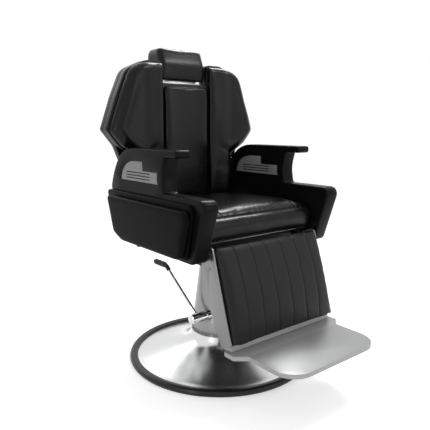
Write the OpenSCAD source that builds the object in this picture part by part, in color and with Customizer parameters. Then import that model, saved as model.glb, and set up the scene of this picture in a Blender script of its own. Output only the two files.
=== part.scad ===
// Hydraulic barber chair: pump base, lifting and swivelling seat, reclining back
// that raises the leg rest through a parallelogram linkage, and a sliding headrest.
// Frame: +Z up, the sitter faces -Y, origin on the floor at the centre of the base.

/* [Base] */
// Outside diameter of the rubber trim ring
base_d = 700; // [640:5:760]
// Height of the trim ring
trim_h = 22; // [19:1:28]
// Radial width of the trim ring
trim_w = 32; // [26:1:40]
// Height of the groove that holds the dish rim
groove_z = 10; // [8:0.5:12]
// Sheet thickness of the dish
dish_t = 3; // [2:0.5:4]
// Height at which the dish meets the column cover
seam_z = 105; // [95:1:120]
// Outside radius of the column cover at its foot
cover_foot_r = 107; // [100:1:120]
// Outside radius of the column cover at its top
cover_top_r = 71; // [68:1:80]
// Wall of the column cover
cover_t = 2.5; // [1.5:0.5:3]
// Outside radius of the pump tank
tank_r = 60; // [54:1:62]
// Height of the top of the pump tank
tank_top = 386; // [376:1:390]

/* [Lift] */
// Travel of the hydraulic ram
lift_stroke = 160; // [100:5:170]
// Diameter of the ram
ram_d = 50; // [40:1:56]
// Diameter of the swivel spigot at the top of the ram
spigot_d = 38; // [30:1:40]
// Radius of the collar that carries the thrust bearing
collar_r = 45; // [40:1:55]

/* [Pump lever] */
// Height of the lever shaft
lever_z = 187; // [180:1:195]
// Distance of the lever shaft in front of the column axis
lever_off = 40; // [36:1:44]
// Diameter of the lever hub
hub_d = 36; // [30:1:40]
// Length of the lever hub
hub_l = 68; // [60:1:80]
// Diameter of the lever rod
rod_d = 12; // [10:0.5:14]
// Length of the lever rod from the shaft to its bend
rod_l = 261; // [240:1:262]
// Slope of the lever rod at rest
rod_angle = 36; // [32:1:38]
// Diameter of the rubber grip
grip_d = 23; // [20:1:26]
// Length of the rubber grip
grip_l = 78; // [70:1:86]

/* [Seat frame] */
// Height of the underside of the seat rails
rail_z = 476; // [474:1:480]
// Height of a seat rail
rail_h = 36; // [32:1:38]
// Thickness of a seat rail
rail_t = 10; // [6:1:12]
// Distance between the outer faces of the seat rails
rails_w = 462; // [456:1:463]
// Thickness of the plate above the swivel socket
mount_t = 10; // [8:1:12]
// Side of the square mount plate
mount_w = 240; // [200:5:260]
// Thickness of the plywood seat board
board_t = 12; // [9:1:15]

/* [Side frames] */
// Clear width between the arms
inner_w = 500; // [496:1:520]
// Thickness of a side frame
arm_w = 57; // [50:1:62]
// Height of the arm top
arm_top = 810; // [790:1:830]
// Depth of the arm at its tip
arm_t = 25; // [22:1:34]
// Height of the ledge in front of the arm post
ledge_z = 667; // [655:1:680]
// Height of the bottom edge of a side frame
frame_bottom = 462; // [460:1:466]
// Radius that eases the edges of a side frame
frame_ease = 5; // [3:1:7]
// Depth of the pocket that holds an inlay
pocket = 5; // [4:0.5:8]
// Thickness of an inlay plate
inlay_t = 3; // [2:0.5:4]
// Thickness of a side panel under its pad
panel_t = 14; // [10:1:18]
// Height of a side pad off its panel
side_pad_t = 24; // [18:1:30]

/* [Cushions] */
// Width of the seat cushion
cushion_w = 476; // [460:1:490]
// Height of the crown of the seat cushion above the board
cushion_h = 101; // [85:1:110]
// Thickness of the wing pads at their crown
wing_t = 40; // [30:1:44]
// Thickness of the centre pad at its crown
centre_t = 20; // [16:1:30]
// Width of the centre pad
centre_w = 210; // [190:1:216]
// Number of channels in the leg rest pad
channels = 7; // [5:1:9]
// Crown of the leg rest pad in front of its pan
calf_t = 30; // [22:1:34]

/* [Back] */
// Distance from the column axis to the front of the back board
board_y = 216; // [214:1:224]
// Thickness of the back board
back_board_t = 26; // [20:1:28]
// Depth of the rear shell
shell_d = 32; // [28:1:40]
// Wall of the rear shell
shell_t = 4; // [3:0.5:5]
// Height of the top of the back
back_top = 1128; // [1110:1:1150]
// Height of the notch that holds the headrest
notch_z = 1048; // [1035:1:1060]
// Width of the notch that holds the headrest
notch_w = 216; // [210:1:230]
// Widest width of the back, at the wing tips
wing_w = 696; // [670:1:720]
// Travel of the headrest
headrest_travel = 80; // [40:5:90]
// Diameter of a headrest post
post_d = 12; // [10:1:12]

/* [Recline linkage] */
// Distance from the column axis back to the recline pivot
pivot_y = 205; // [200:1:212]
// Height of the recline pivot and of the leg rest pivot
pivot_z = 489.5; // [486:0.5:492]
// Length of the cranks under both pivots
crank = 50; // [46:1:52]
// Diameter of the pivot pins
pin_d = 12; // [10:1:13]
// Diameter of the link pins
link_pin_d = 10; // [8:1:11]
// Thickness of a link bar
link_t = 6; // [5:1:8]
// Diameter of the tie rod between the links
tie_d = 16; // [12:1:18]

/* [Leg rest] */
// Slope of the leg rest from the vertical
leg_angle = 17.5; // [15:0.5:20]
// Length of the leg rest along its slope
leg_l = 316; // [290:1:330]
// Width over the side plates of the leg rest
leg_w = 482; // [470:1:486]
// Depth of the side plates at the top
leg_depth = 70; // [60:1:75]
// Depth of the side plates at the bottom
leg_foot_depth = 50; // [44:1:60]
// Thickness of a side plate
leg_plate_t = 6; // [4:0.5:7]
// Thickness of the foot plate
foot_t = 14; // [10:1:16]
// Height of the top of the foot plate
foot_z = 193; // [188:1:196]
// Distance from the column axis to the front of the foot plate
foot_front = 585; // [540:5:640]
// Width of the foot plate
foot_w = 416; // [380:2:440]

/* [Hidden] */

// Clearances: running fit of a shaft, seat of a fixed piece, and gap beside soft pieces
run = 0.05;
seat_gap = 0.2;
soft_gap = 0.3;

// ---- base
base_r = base_d / 2;
trim_in = base_r - trim_w;
rim_grip = 8;
dish_rim = trim_in + rim_grip;
cover_h = tank_top + 6 - seam_z;
flange_r = 84;
flange_z = 24;
flange_t = 12;
gland_t = 24;
gland_top = tank_top + gland_t;
ram_r = ram_d / 2;
ram_bottom = 60;
collar_z = gland_top + 4;
collar_t = 10;
bearing_t = 8;
socket_z = collar_z + collar_t + bearing_t + soft_gap;
spigot_r = spigot_d / 2;
spigot_top = rail_z - mount_t - 4;
socket_wall = 20;

// ---- pump lever
lever_y = -lever_off;
shaft_r = 10;
boss_end = 97;
hub_gap = 1;
rod_x = -boss_end - hub_gap - hub_l / 2;
bend = [lever_y + rod_l * cos(rod_angle), lever_z + rod_l * sin(rod_angle)];
bend_r = 24;
reach = bend_r * tan(rod_angle / 2);
bend_thin = 0.25;
lap = 1;

// ---- seat frame
rail_x = rails_w / 2;
rail_front = -205;
rail_back = 165;
rail_top = rail_z + rail_h;
cross_w = 30;
cross_h = 30;
cross_wall = 3;
front_cross_y = -160;
rear_cross_y = 140;
mid_cross_y = 75;
seat_top = rail_top + board_t;
board_front = -215;
bolt_y = [-130, 0, 110];
bolt_z = rail_z + 18;
bolt_r = 5;

// ---- side frames
inner_x = inner_w / 2;
outer_x = inner_x + arm_w;
arm_front = -168;

// ---- back
back_waist = 232;
shell_y = board_y + back_board_t;
back_low = 575;
wing_x = wing_w / 2;
wing_tip_z = 872;
tube_r = 10;
tube_y = shell_y + 3 + tube_r;
guide_x = 50;
notch_x = notch_w / 2;
arm_plate_t = 6;

// ---- leg rest
leg_top = [-263, 514];
leg_x = leg_w / 2;
leg_pivot = [leg_top[0] + 15.2, pivot_z];
back_pivot = [pivot_y, pivot_z];
pan_y = 14;
pan_t = 3;

foot_back = -308;
foot_bolt_y = -328;
bolt_x = [-180, -70, 70, 180];

// Point of the leg rest's own frame, Y back and Z up its slope, where it hangs at rest
function leg_at(y, z) = leg_top + [y * cos(leg_angle) + z * sin(leg_angle),
    z * cos(leg_angle) - y * sin(leg_angle)];

// ---- recline linkage
link_x = 212;
link_h = 18;
link_z = pivot_z - crank;
tie_y = 120;
lock_x = 150;
lock_y = front_cross_y;
lock_z = rail_z - 21;
lock_r = 14;
lock_len = 190;
lock_rod_r = 5;
eye_clear = 5;
tie_at = [tie_y, link_z];
lock_at = [lock_y, lock_z];
lock_span = norm(tie_at - lock_at);
lock_tilt = atan2(tie_at[1] - lock_at[1], tie_at[0] - lock_at[0]);
recline_max = 45;
// The ribs under the mounting plate end where the reclined tie rod still passes behind them
rib_t = 6;
rib_clear = 4;
rib_reach = (tie_y - crank * sin(recline_max) - tie_d / 2 - rib_clear) * sqrt(2) - rib_t;

// ---- outlines
function unit(v) = v / norm(v);

// Arc that rounds the corner at p between its neighbours a and b
function corner(p, a, b, r, n) =
    let (u = unit(a - p), v = unit(b - p), angle = acos(max(-1, min(1, u * v))))
    r <= 0 || angle > 178 ? [p] :
    let (c = p + unit(u + v) * r / sin(angle / 2),
         s = p + u * r / tan(angle / 2) - c,
         e = p + v * r / tan(angle / 2) - c,
         a0 = atan2(s[1], s[0]),
         turn = (atan2(e[1], e[0]) - a0 + 540) % 360 - 180)
    [for (i = [0:n]) c + r * [cos(a0 + turn * i / n), sin(a0 + turn * i / n)]];

// Closed outline from corners given as [x, y, radius]
function eased(pts, n = 5) =
    let (m = len(pts))
    [for (i = [0:m - 1])
        let (p = pts[i], a = pts[(i + m - 1) % m], b = pts[(i + 1) % m])
        each corner([p[0], p[1]], [a[0], a[1]], [b[0], b[1]], p[2], n)];

// Points on a cubic curve, without its first point
function curve(a, b, c, d, n) =
    [for (i = [1:n]) let (t = i / n, s = 1 - t)
        s * s * s * a + 3 * s * s * t * b + 3 * s * t * t * c + t * t * t * d];

function sharp(pts) = [for (p = pts) [p[0], p[1], 0]];

// The same curve moved sideways by t, square to its own direction
function moved(pts, t) =
    let (m = len(pts) - 1)
    [for (i = [0:m])
        let (d = unit(pts[min(i + 1, m)] - pts[max(i - 1, 0)]))
        pts[i] + t * [-d[1], d[0]]];

// The outline with its points running anticlockwise
function turned(pts) =
    let (m = len(pts), sum2 = [for (i = [0:m - 1]) cross(pts[i], pts[(i + 1) % m])] *
        [for (i = [0:m - 1]) 1])
    sum2 > 0 ? pts : [for (i = [m - 1:-1:0]) pts[i]];

// An anticlockwise outline drawn in by d, square to its edges
function inset(pts, d) =
    let (m = len(pts))
    [for (i = [0:m - 1])
        let (u = unit(pts[i] - pts[(i + m - 1) % m]), v = unit(pts[(i + 1) % m] - pts[i]),
             b = [-u[1] - v[1], u[0] + v[0]])
        pts[i] + d * b * 2 / (b * b)];

// Whether the triangle at the k-th of the points ids is an ear of the outline
function is_ear(pts, ids, k) =
    let (m = len(ids), ia = ids[(k + m - 1) % m], ib = ids[k], ic = ids[(k + 1) % m],
         a = pts[ia], b = pts[ib], c = pts[ic])
    cross(b - a, c - b) > 0.000001 &&
    len([for (j = ids) let (p = pts[j]) if (j != ia && j != ib && j != ic &&
        cross(b - a, p - a) >= 0 && cross(c - b, p - b) >= 0 && cross(a - c, p - c) >= 0) 1]) == 0;

function first_ear(pts, ids, k = 0) =
    k >= len(ids) || is_ear(pts, ids, k) ? k : first_ear(pts, ids, k + 1);

// Triangles that fill an anticlockwise outline, as point numbers
function filled(pts, ids, out = []) =
    let (m = len(ids))
    m == 3 ? concat(out, [ids]) :
    let (k = first_ear(pts, ids), ear = [ids[(k + m - 1) % m], ids[k], ids[(k + 1) % m]])
    filled(pts, [for (i = [0:m - 1]) if (i != k) ids[i]], concat(out, [ear]));

// Side view of a side frame, as [y, z] points
function side_outline() =
    let (under = arm_top - arm_t)
    eased(concat(
        [[arm_front, arm_top, 9], [105, arm_top, 0]],
        sharp(curve([105, arm_top], [200, arm_top], [245, 740], [271, ledge_z], 9)),
        [[266, 590, 40], [236, 492, 30], [186, frame_bottom, 25]],
        [[-254, frame_bottom, 20], [-321, ledge_z, 26]],
        [[-95, ledge_z, 12]],
        sharp(curve([-89, ledge_z + 30], [-84, 715], [-87, 745], [-96, under - 16], 4)),
        [[-100, under, 6], [arm_front, under, 9]]), 4);

// Inlay plate, as [y, z] points, grown by g all round
function inlay_outline(g = 0) =
    let (low = 694 - g, step = 733 + g, top = 765 + g)
    concat(
        [[-58 - g, low], [-53 - g, (low + step) / 2], [-55 - g, step], [39 - g, step], [39 - g, top]],
        [for (i = [0:8]) [100 + (93 + g) * sin(i * 11.25), low + (top - low) * cos(i * 11.25)]]);

// Side panel and side pad, as [y, z] points
function panel_outline() =
    eased([[-274, 651, 26], [284, 651, 14], [216, 492, 24], [150, 470, 30], [-234, 474, 22]], 5);

function mirror_all(pts) = concat(pts, [for (i = [len(pts) - 1:-1:0]) [-pts[i][0], pts[i][1]]]);

// Half of the back seen from the front, as [x, z] points from the notch to the bottom
function back_half(waist_z, under_z) =
    eased([[0, notch_z, 0], [notch_x, notch_z, 2], [notch_x, back_top, 12],
        [176, back_top, 60], [262, 1090, 60], [wing_x - 42, 990, 200],
        [wing_x, wing_tip_z, 12], [300, 812, 60], [under_z[0], under_z[1], 10],
        [back_waist, waist_z, 12], [back_waist, back_low, 20], [0, back_low, 0]], 4);

function closed_half(pts) =
    mirror_all([for (p = pts) if (p[0] > 0.001) p]);

function board_outline() = closed_half(back_half(773, [258, 785]));
function shell_outline() = closed_half(back_half(744, [276, 752]));

// ---- building blocks
// Turns a side view drawn as [y, z] into a body extruded along +X
module along_x() { rotate([90, 0, 90]) children(); }

// Turns a front view drawn as [x, z] into a body extruded along -Y
module along_y() { rotate([90, 0, 0]) children(); }

module both_sides() {
    children();
    mirror([1, 0, 0]) children();
}

// Cylinder along X from x0 to x1 through the point [y, z]
module pin(x0, x1, at, r, facets = 48) {
    translate([x0, at[0], at[1]]) rotate([0, 90, 0]) cylinder(h = x1 - x0, r = r, $fn = facets);
}

// Slab from an outline, with the edges of its underside eased, and of its top if both
module slab(outline, thick, r, both = true) {
    o = turned(outline);
    m = len(o);
    low = [[r, 0], [0.5 * r, 0.134 * r], [0.134 * r, 0.5 * r], [0, r]];
    top = [for (i = [3:-1:0]) [low[i][0], thick - low[i][1]]];
    steps = both ? concat(low, top) : concat(low, [[0, thick]]);
    n = len(steps);
    walls = [for (k = [0:n - 2]) for (i = [0:m - 1])
        let (a = k * m + i, b = k * m + (i + 1) % m)
        each [[a, a + m, b + m], [a, b + m, b]]];
    caps = filled(inset(o, r), [for (i = [0:m - 1]) i]);
    last = (n - 1) * m;
    polyhedron([for (q = steps) for (p = inset(o, q[0])) [p[0], p[1], q[1]]],
        concat(walls, caps, [for (t = caps) [last + t[2], last + t[1], last + t[0]]]),
        convexity = 6);
}

// Puts a body drawn in the frame of the leg rest where it hangs at rest
module leg_place() {
    translate([0, leg_top[0], leg_top[1]]) rotate([-leg_angle, 0, 0]) children();
}

// ---- soft forms
// Spacing that crowds points near both ends of 0..1
function crowd(i, n) = (1 - cos(180 * i / n)) / 2;

// Rounded profile across a pad: 0 at both edges, 1 over its middle
function roll(t, p) = pow(1 - pow(abs(2 * t - 1), p), 1 / p);

// How far a plan corner of radius r draws in at a distance d from the end
function draw(d, r) = d >= r ? 0 : r - sqrt(max(0, r * r - (r - d) * (r - d)));

// Stuffed pad over the plan x = lo(v)..hi(v), v = v0..v1; its skin rises from edge to
// depth, sinks by groove(x, v) and is drawn in by tuck at the seam on its flat back
module pad(lo, hi, v0, v1, depth, edge, nx, nv, p = 3.2, tuck = 4, even = false,
           groove = function(x, v) 0) {
    function s(i) = even ? i / nx : crowd(i, nx);
    function v(j) = v0 + (v1 - v0) * crowd(j, nv);
    function x(i, j) = lo(v(j)) + (hi(v(j)) - lo(v(j))) * s(i);
    function rise(i, j) = roll(s(i), even ? 8 : p) * roll(crowd(j, nv), p);
    skin = [for (j = [0:nv]) for (i = [0:nx])
        [x(i, j), v(j), edge + (depth - edge) * rise(i, j) - groove(x(i, j), v(j)) * rise(i, j)]];
    rim = concat([for (i = [0:nx - 1]) i], [for (j = [0:nv - 1]) j * (nx + 1) + nx],
        [for (i = [nx:-1:1]) nv * (nx + 1) + i], [for (j = [nv:-1:1]) j * (nx + 1)]);
    mid = [(lo(v(nv / 2)) + hi(v(nv / 2))) / 2, (v0 + v1) / 2];
    back = [for (k = rim) let (q = [skin[k][0], skin[k][1]], d = mid - q)
        concat(q + d * min(1, tuck / norm(d)), [0])];
    m = len(rim);
    n = len(skin);
    top_faces = [for (j = [0:nv - 1]) for (i = [0:nx - 1])
        let (a = j * (nx + 1) + i, b = a + 1, c = a + nx + 2, d = a + nx + 1)
        each [[a, c, b], [a, d, c]]];
    side_faces = [for (k = [0:m - 1]) let (l = (k + 1) % m)
        each [[rim[k], rim[l], n + k], [rim[l], n + l, n + k]]];
    back_faces = [for (k = [0:m - 1]) [n + k, n + (k + 1) % m, n + m]];
    polyhedron(concat(skin, back, [concat(mid, [0])]),
        concat(top_faces, side_faces, back_faces), convexity = 4);
}

// Stuffed roll: the outline, [y, z], swept along X and drawn in towards its ends
module bolster(outline, half_w, bulge, n) {
    m = len(outline);
    mid = [for (k = [0:1]) let (s = [for (q = outline) q[k]]) s * [for (q = s) 1] / m];
    rings = [for (i = [0:n]) let (t = crowd(i, n), f = 1 - bulge * pow(abs(2 * t - 1), 6))
        for (q = outline) let (r = mid + (q - mid) * f) [half_w * (2 * t - 1), r[0], r[1]]];
    walls = [for (i = [0:n - 1]) for (k = [0:m - 1])
        let (a = i * m + k, b = i * m + (k + 1) % m)
        each [[a, b, b + m], [a, b + m, a + m]]];
    caps = [for (k = [0:m - 1]) let (l = (k + 1) % m)
        each [[l, k, (n + 1) * m], [n * m + k, n * m + l, (n + 1) * m + 1]]];
    polyhedron(concat(rings, [[-half_w, mid[0], mid[1]], [half_w, mid[0], mid[1]]]),
        concat(walls, caps), convexity = 4);
}

// ---- base
module base_trim() {
    color([0.05, 0.05, 0.05]) rotate_extrude($fn = 128) polygon(eased([
        [trim_in, 0, 0], [base_r - 4, 0, 3], [base_r, groove_z, 6],
        [base_r - 4, trim_h - 3, 6], [base_r - 13, trim_h, 5], [trim_in + 4, trim_h - 2, 4],
        [trim_in, groove_z + dish_t, 0], [dish_rim, groove_z + dish_t, 0],
        [dish_rim, groove_z, 0], [trim_in, groove_z, 0]], 4));
}

// Upper skin of the dish, from its rim to the foot of the column cover, as [r, z]
function dish_curve() =
    let (top = groove_z + dish_t)
    concat([[trim_in - 12, top]], curve([trim_in - 12, top], [190, 40], [125, 52],
        [cover_foot_r, seam_z], 14));

module base_dish() {
    skin = dish_curve();
    under = moved(skin, dish_t);
    n = len(under) - 1;
    color([0.85, 0.86, 0.88]) rotate_extrude($fn = 128) polygon(concat(
        [[dish_rim, groove_z + dish_t]], skin,
        [[cover_foot_r - cover_t, seam_z]], [for (i = [n - 1:-1:1]) under[i]],
        [[trim_in - 12, groove_z], [dish_rim, groove_z]]));
}

// Cast floor plate with its raised pump seat and lightening holes
module base_weight() {
    holes = 6;
    color([0.2, 0.2, 0.21]) difference() {
        rotate_extrude($fn = 96) polygon([[0, 2], [trim_in - seat_gap, 2],
            [trim_in - seat_gap, groove_z], [trim_in - 20, groove_z], [trim_in - 30, 7],
            [150, 8], [120, flange_z], [0, flange_z]]);
        for (i = [0:holes - 1]) rotate([0, 0, 30 + i * 360 / holes])
            translate([225, 0, 0]) cylinder(h = 30, r = 32, $fn = 48);
        for (i = [0:3]) rotate([0, 0, 45 + i * 90])
            translate([flange_r - 12, 0, 6]) cylinder(h = 30, r = bolt_r, $fn = 32);
    }
}

module pump_cover() {
    color([0.8, 0.81, 0.83]) difference() {
        translate([0, 0, seam_z]) difference() {
            cylinder(h = cover_h, r1 = cover_foot_r, r2 = cover_top_r, $fn = 96);
            translate([0, 0, -0.01]) cylinder(h = cover_h - cover_t, r1 = cover_foot_r - cover_t,
                r2 = cover_top_r - cover_t + 0.3, $fn = 96);
            cylinder(h = cover_h + 1, r = tank_r + 1, $fn = 64);
        }
        pin(-cover_foot_r - 5, 0, [lever_y, lever_z], hub_d / 2 + 1);
    }
}

module pump_tank() {
    color([0.25, 0.26, 0.28]) difference() {
        union() {
            translate([0, 0, flange_z]) cylinder(h = flange_t, r = flange_r, $fn = 64);
            translate([0, 0, flange_z]) cylinder(h = tank_top - flange_z, r = tank_r, $fn = 64);
        }
        translate([0, 0, flange_z + flange_t]) cylinder(h = tank_top, r = tank_r - 5, $fn = 64);
        for (i = [0:3]) rotate([0, 0, 45 + i * 90])
            translate([flange_r - 12, 0, flange_z - 1]) cylinder(h = 30, r = bolt_r, $fn = 32);
    }
}

module pump_cylinder() {
    base = flange_z + flange_t;
    color([0.55, 0.56, 0.58]) difference() {
        translate([0, 0, base]) cylinder(h = tank_top - base, r = ram_r + 8, $fn = 64);
        translate([0, 0, base + 12]) cylinder(h = tank_top, r = ram_r + run, $fn = 64);
    }
}

// Cap that closes the tank and guides the ram, with its two spanner flats
module gland_cap() {
    color([0.7, 0.71, 0.73]) difference() {
        translate([0, 0, tank_top]) rotate_extrude($fn = 64) polygon([[ram_r + run, 0],
            [tank_r, 0], [tank_r, gland_t - 10], [tank_r - 6, gland_t - 4], [ram_r + 12, gland_t - 4],
            [ram_r + 9, gland_t], [ram_r + run, gland_t]]);
        both_sides() translate([tank_r - 5, -30, tank_top + 8]) cube([10, 60, gland_t]);
    }
}

module pump_bolts() {
    top = flange_z + flange_t;
    color([0.6, 0.6, 0.62]) for (i = [0:3]) rotate([0, 0, 45 + i * 90])
        translate([flange_r - 12, 0, 0]) {
            translate([0, 0, 6]) cylinder(h = top - 6, r = bolt_r, $fn = 32);
            translate([0, 0, top]) cylinder(h = 7, r = 9, $fn = 6);
        }
}

// Bearing block on the side of the tank, with the sleeve that passes through the cover
module lever_bearing() {
    at = [lever_y, lever_z];
    color([0.8, 0.81, 0.83]) difference() {
        union() {
            pin(-boss_end, -tank_r + 22, at, hub_d / 2);
            translate([-tank_r - 8, lever_y - 18, lever_z - 22]) cube([31, 36, 44]);
        }
        cylinder(h = tank_top, r = tank_r + seat_gap, $fn = 64);
        pin(-boss_end - 1, 0, at, shaft_r + run);
    }
}

// ---- pump lever
module lever_hub() {
    at = [lever_y, lever_z];
    x1 = -boss_end - hub_gap;
    color([0.85, 0.86, 0.88]) difference() {
        union() {
            translate([x1, at[0], at[1]]) rotate([0, -90, 0]) rotate_extrude($fn = 48) polygon([
                [0, 0], [hub_d / 2, 0], [hub_d / 2, hub_l - 4], [hub_d / 2 - 4, hub_l],
                [hub_d / 4, hub_l], [hub_d / 4 - 2, hub_l + 3], [0, hub_l + 3]]);
            pin(x1, -tank_r + 10, at, shaft_r);
        }
        cylinder(h = tank_top, r = tank_r + 2, $fn = 64);
        rod_line(shaft_r, hub_d);
    }
}

// Straight part of the lever, from r0 to r1 along its slope
module rod_line(r0, r1, r = rod_d / 2) {
    translate([rod_x, lever_y, lever_z]) rotate([rod_angle - 90, 0, 0]) translate([0, 0, r0])
        cylinder(h = r1 - r0, r = r, $fn = 32);
}

// Elbow of the lever with its section of radius r
module elbow(r) {
    hang = bend + bend_r / cos(rod_angle / 2) * [sin(rod_angle / 2), -cos(rod_angle / 2)];
    translate([rod_x, hang[0], hang[1]]) along_x() rotate([0, 0, 90])
        rotate_extrude(angle = rod_angle, $fn = 64) translate([bend_r, 0]) circle(r = r, $fn = 32);
}

// Whole rod: straight, bent, where its section draws in a little, and level again
module rod_form() {
    rod_line(shaft_r, rod_l - reach + lap);
    elbow(rod_d / 2 - bend_thin);
    translate([rod_x, bend[0] + reach - lap, bend[1]]) rotate([-90, 0, 0])
        cylinder(h = grip_l - 12, r = rod_d / 2, $fn = 32);
}

module lever_rod() {
    color([0.75, 0.76, 0.78]) union() rod_form();
}

// Ribbed rubber sleeve with a domed end
module lever_grip() {
    r = grip_d / 2;
    sleeve = rod_d / 2 + 2.5;
    ribs = 6;
    pitch = (grip_l - 30) / ribs;
    color([0.06, 0.06, 0.06]) difference() {
        union() {
            rod_line(rod_l - reach - 16, rod_l - reach + lap, sleeve + bend_thin);
            elbow(sleeve);
            translate([rod_x, bend[0] + reach - lap, bend[1]]) rotate([-90, 0, 0])
                rotate_extrude($fn = 32) polygon(concat([[0, 0], [r - 2, 0], [r, 3]],
                    [for (i = [0:ribs - 1]) for (q = [[0, 0.5], [1.2, 0.65], [1.2, 0.85], [0, 1]])
                        [r - q[0], 6 + (i + q[1]) * pitch]],
                    [for (i = [0:3]) [r * cos(i * 22.5), grip_l - r + r * sin(i * 22.5)]],
                    [[0, grip_l]]));
        }
        rod_form();
    }
}

// ---- ram
module ram_rod() {
    z1 = collar_z + collar_t;
    color([0.78, 0.79, 0.8]) rotate_extrude($fn = 64) polygon([[0, ram_bottom],
        [ram_r - 2, ram_bottom], [ram_r, ram_bottom + 2], [ram_r, collar_z], [collar_r, collar_z],
        [collar_r, z1], [spigot_r, z1], [spigot_r, spigot_top - 2], [spigot_r - 2, spigot_top],
        [0, spigot_top]]);
}

module thrust_bearing() {
    color([0.6, 0.61, 0.63]) translate([0, 0, collar_z + collar_t]) rotate_extrude($fn = 64)
        polygon([[spigot_r, 0], [collar_r - 2, 0], [collar_r - 2, 2.5], [collar_r - 4, 2.5],
            [collar_r - 4, bearing_t - 2.5], [collar_r - 2, bearing_t - 2.5],
            [collar_r - 2, bearing_t], [spigot_r, bearing_t]]);
}

// ---- seat frame
// Swivel socket with four gussets under the square mount plate
module swivel_socket() {
    plate_z = rail_z - mount_t;
    r = spigot_r + socket_wall;
    color([0.12, 0.12, 0.13]) difference() {
        union() {
            translate([0, 0, socket_z]) cylinder(h = plate_z - socket_z, r = r, $fn = 64);
            translate([-mount_w / 2, -mount_w / 2, plate_z]) cube([mount_w, mount_w, mount_t]);
            for (i = [0:3]) rotate([0, 0, 45 + i * 90]) translate([0, rib_t / 2, 0]) along_y()
                linear_extrude(rib_t) polygon([[r - 3, socket_z + 4], [r + 4, socket_z + 4],
                    [rib_reach, plate_z - 2], [rib_reach, plate_z + 1], [r - 3, plate_z + 1]]);
        }
        translate([0, 0, socket_z - 1]) cylinder(h = spigot_top + 2 - socket_z + 1,
            r = spigot_r + run, $fn = 64);
    }
}

module right_rail() {
    color([0.12, 0.12, 0.13]) difference() {
        translate([rail_x - rail_t, 0, 0]) along_x() linear_extrude(rail_t) polygon(eased([
            [rail_front, rail_z, 8], [rail_back, rail_z, 8], [rail_back, rail_top, 4],
            [rail_front, rail_top, 4]], 4));
        for (y = bolt_y) pin(rail_x - rail_t - 1, rail_x + 1, [y, bolt_z], bolt_r);
    }
}
module left_rail() { mirror([1, 0, 0]) right_rail(); }

// Box tube across the seat between the rails, centred at y
module crossbar(y) {
    w = rails_w - 2 * rail_t;
    translate([-w / 2, y - cross_w / 2, rail_z]) difference() {
        cube([w, cross_w, cross_h]);
        translate([-1, cross_wall, cross_wall])
            cube([w + 2, cross_w - 2 * cross_wall, cross_h - 2 * cross_wall]);
    }
}
module front_crossbar() { color([0.12, 0.12, 0.13]) crossbar(front_cross_y); }
module rear_crossbar() { color([0.12, 0.12, 0.13]) crossbar(rear_cross_y); }
module centre_crossbars() {
    color([0.12, 0.12, 0.13]) for (y = [-mid_cross_y, mid_cross_y]) crossbar(y);
}

module seat_board() {
    w = rails_w - 4;
    color([0.72, 0.56, 0.36]) difference() {
        translate([0, 0, rail_top]) linear_extrude(board_t) polygon(eased([
            [-w / 2, board_front, 20], [w / 2, board_front, 20], [w / 2, rail_back, 20],
            [-w / 2, rail_back, 20]], 5));
        for (x = [-120, 0, 120]) for (y = [-110, 0, 110])
            translate([x, y, rail_top - 1]) cylinder(h = board_t + 2, r = 8, $fn = 24);
    }
}

module seat_cushion() {
    w = cushion_w / 2;
    v0 = -245;
    v1 = 168;
    color([0.09, 0.09, 0.09]) translate([0, 0, seat_top + soft_gap])
        pad(function(v) -w + draw(min(v - v0, v1 - v), 26),
            function(v) w - draw(min(v - v0, v1 - v), 26), v0, v1, cushion_h, 66, 18, 16,
            p = 3.6, tuck = 8, groove = function(x, v) 3 * exp(-pow((abs(x) - 118) / 8, 2)));
}

// ---- side frames
module inlay_pocket(x0, x1) {
    translate([x0, 0, 0]) along_x() linear_extrude(x1 - x0) polygon(inlay_outline(1));
}

module right_side_frame() {
    color([0.07, 0.07, 0.07]) difference() {
        translate([inner_x, 0, 0]) along_x() slab(side_outline(), arm_w, frame_ease);
        inlay_pocket(inner_x - 1, inner_x + pocket);
        inlay_pocket(outer_x - pocket, outer_x + 1);
        for (y = bolt_y) pin(inner_x - 1, inner_x + 30, [y, bolt_z], bolt_r);
        pin(inner_x - 1, inner_x + 25, back_pivot, pin_d / 2);
        pin(inner_x - 1, inner_x + 25, leg_pivot, pin_d / 2 - 2);
    }
}
module left_side_frame() { mirror([1, 0, 0]) right_side_frame(); }

// Inlay plate with three long slots, its back on the floor of the pocket at x
module inlay(x) {
    translate([x, 0, 0]) along_x() difference() {
        linear_extrude(inlay_t) polygon(inlay_outline());
        for (z = [705, 715, 725]) translate([0, 0, -1]) linear_extrude(inlay_t + 2)
            polygon(eased([[-6, z - 1.7, 1.6], [154, z - 1.7, 1.6], [154, z + 1.7, 1.6],
                [-6, z + 1.7, 1.6]], 3));
    }
}
module outer_inlays() { color([0.58, 0.58, 0.58]) both_sides() inlay(outer_x - pocket); }
module inner_inlays() { color([0.58, 0.58, 0.58]) both_sides() inlay(inner_x + pocket - inlay_t); }

module right_side_panel() {
    color([0.06, 0.06, 0.06]) translate([outer_x, 0, 0]) along_x()
        slab(panel_outline(), panel_t, 4);
}
module left_side_panel() { mirror([1, 0, 0]) right_side_panel(); }

module right_side_pad() {
    v0 = 474;
    v1 = 636;
    front = function(v) -271 + (613 - v) * 0.27;
    rear = function(v) 252 - max(0, v1 - v) * 0.34 - max(0, 500 - v) * 2.2;
    color([0.09, 0.09, 0.09]) translate([outer_x + panel_t + soft_gap, 0, 0]) along_x()
        pad(function(v) front(v) + draw(min(v - v0, v1 - v), 22),
            function(v) rear(v) - draw(v1 - v, 18), v0, v1, side_pad_t - soft_gap, 10, 16, 14,
            p = 7, tuck = 3);
}
module left_side_pad() { mirror([1, 0, 0]) right_side_pad(); }

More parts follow.
